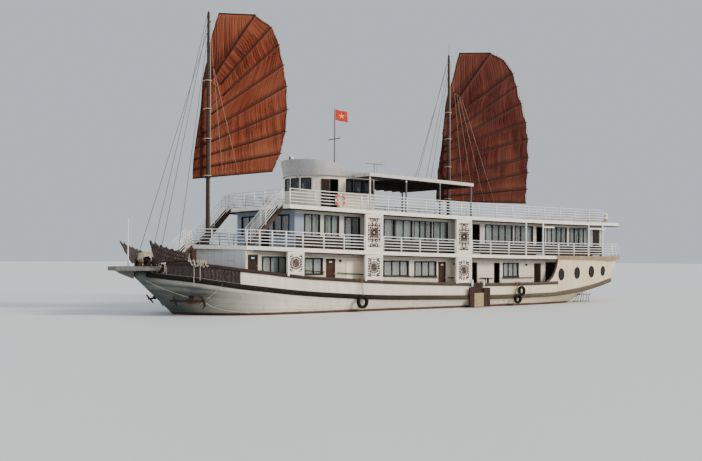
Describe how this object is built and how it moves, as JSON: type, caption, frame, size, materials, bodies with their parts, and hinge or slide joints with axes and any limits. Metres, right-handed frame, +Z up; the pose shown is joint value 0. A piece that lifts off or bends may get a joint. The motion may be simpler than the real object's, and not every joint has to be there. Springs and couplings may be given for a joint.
{
  "type": "chinese junk ship",
  "caption": "Three-decked wooden junk with a bluff raked bow, glazed deckhouses, railed galleries and battened sails that slew round their masts.",
  "frame": {"origin": "amidships on the centreline at the waterline", "axes": "+X toward the bow, +Y to port, +Z up"},
  "size_m": [38.1, 8.301, 19.68],
  "materials": {
    "hull_paint": "weathered matte",
    "rubbing_timber": "weathered",
    "carved_timber": "dark varnish",
    "house_paint": "weathered matte",
    "blue_white_paint": "satin",
    "rail_paint": "satin",
    "door_paint": "painted",
    "awning_paint": "weathered",
    "mast_timber": "varnished",
    "orange_canvas": "sun bleached",
    "red_canvas": "sun bleached",
    "rudder_paint": "antifouling",
    "bronze": "dull",
    "black_rubber": "worn",
    "dark_iron": "rusted",
    "fender_timber": "weathered",
    "buoy_shell": "sun faded"
  },
  "bodies": {
    "ship": {"hull": "hull_paint", "stern_house": "hull_paint", "bulwark_port": "hull_paint", "bulwark_starboard": "hull_paint", "rub_rail_port": "rubbing_timber", "rub_rail_starboard": "rubbing_timber", "bow_platform": "rubbing_timber", "bow_wing_port": "carved_timber", "bow_wing_starboard": "carved_timber", "sun_stair_port": "carved_timber", "sun_stair_starboard": "carved_timber", "lower_wall_port": "house_paint", "lower_wall_starboard": "house_paint", "middle_deck": "house_paint", "sun_deck": "house_paint", "wheelhouse_wall_front": "house_paint", "wheelhouse_wall_port": "house_paint", "wheelhouse_wall_starboard": "house_paint", "wheelhouse_wall_aft": "house_paint", "wheelhouse_roof": "house_paint", "lower_wall_front": "blue_white_paint", "middle_wall_port": "blue_white_paint", "middle_wall_starboard": "blue_white_paint", "middle_wall_front": "blue_white_paint", "middle_wall_aft": "blue_white_paint", "middle_rail_port": "rail_paint", "middle_rail_starboard": "rail_paint", "middle_rail_aft": "rail_paint", "sun_rail_port": "rail_paint", "sun_rail_starboard": "rail_paint", "sun_rail_front": "rail_paint", "sun_rail_aft": "rail_paint", "fore_stair": "rail_paint", "flag_mast": "rail_paint", "awning": "awning_paint", "foremast": "mast_timber", "mainmast": "mast_timber", "tyre_fore_port": "black_rubber", "tyre_fore_starboard": "black_rubber", "tyre_aft_port": "black_rubber", "tyre_aft_starboard": "black_rubber", "anchor_port": "dark_iron", "anchor_starboard": "dark_iron", "boarding_frame_port": "fender_timber", "boarding_frame_starboard": "fender_timber", "lifebuoy_port": "buoy_shell", "lifebuoy_starboard": "buoy_shell"},
    "fore_sail": {"fore_sail": "orange_canvas"},
    "main_sail": {"main_sail": "red_canvas"},
    "rudder": {"rudder": "rudder_paint"},
    "propeller": {"propeller": "bronze"},
    "door_fore_port": {"door_fore_port": "door_paint"},
    "door_fore_starboard": {"door_fore_starboard": "door_paint"},
    "door_middle_port": {"door_middle_port": "door_paint"},
    "door_middle_starboard": {"door_middle_starboard": "door_paint"},
    "door_aft_port": {"door_aft_port": "door_paint"},
    "door_aft_starboard": {"door_aft_starboard": "door_paint"}
  },
  "joints": [
    {"name": "fore_sail_slew", "type": "hinge", "parent": "ship", "child": "fore_sail", "pos_m": [13, 0, 8], "axis": [0, 0, 1], "range_deg": [-80, 80]},
    {"name": "main_sail_slew", "type": "hinge", "parent": "ship", "child": "main_sail", "pos_m": [-5.5, 0, 8], "axis": [0, 0, 1], "range_deg": [-80, 80]},
    {"name": "rudder_turn", "type": "hinge", "parent": "ship", "child": "rudder", "pos_m": [-15, 0, -0.9], "axis": [0, 0, 1], "range_deg": [-35, 35]},
    {"name": "propeller_spin", "type": "hinge", "parent": "ship", "child": "propeller", "pos_m": [-13.75, 0, -1.1], "axis": [1, 0, 0], "continuous": true},
    {"name": "door_fore_port_swing", "type": "hinge", "parent": "ship", "child": "door_fore_port", "pos_m": [12.248, 3.11, 2.2], "axis": [0, 0, 1], "range_deg": [0, 95]},
    {"name": "door_fore_starboard_swing", "type": "hinge", "parent": "ship", "child": "door_fore_starboard", "pos_m": [12.248, -3.11, 2.2], "axis": [0, 0, -1], "range_deg": [0, 95]},
    {"name": "door_middle_port_swing", "type": "hinge", "parent": "ship", "child": "door_middle_port", "pos_m": [7.008, 3.11, 2.2], "axis": [0, 0, 1], "range_deg": [0, 95]},
    {"name": "door_middle_starboard_swing", "type": "hinge", "parent": "ship", "child": "door_middle_starboard", "pos_m": [7.008, -3.11, 2.2], "axis": [0, 0, -1], "range_deg": [0, 95]},
    {"name": "door_aft_port_swing", "type": "hinge", "parent": "ship", "child": "door_aft_port", "pos_m": [-1.732, 3.11, 2.2], "axis": [0, 0, 1], "range_deg": [0, 95]},
    {"name": "door_aft_starboard_swing", "type": "hinge", "parent": "ship", "child": "door_aft_starboard", "pos_m": [-1.732, -3.11, 2.2], "axis": [0, 0, -1], "range_deg": [0, 95]}
  ]
}
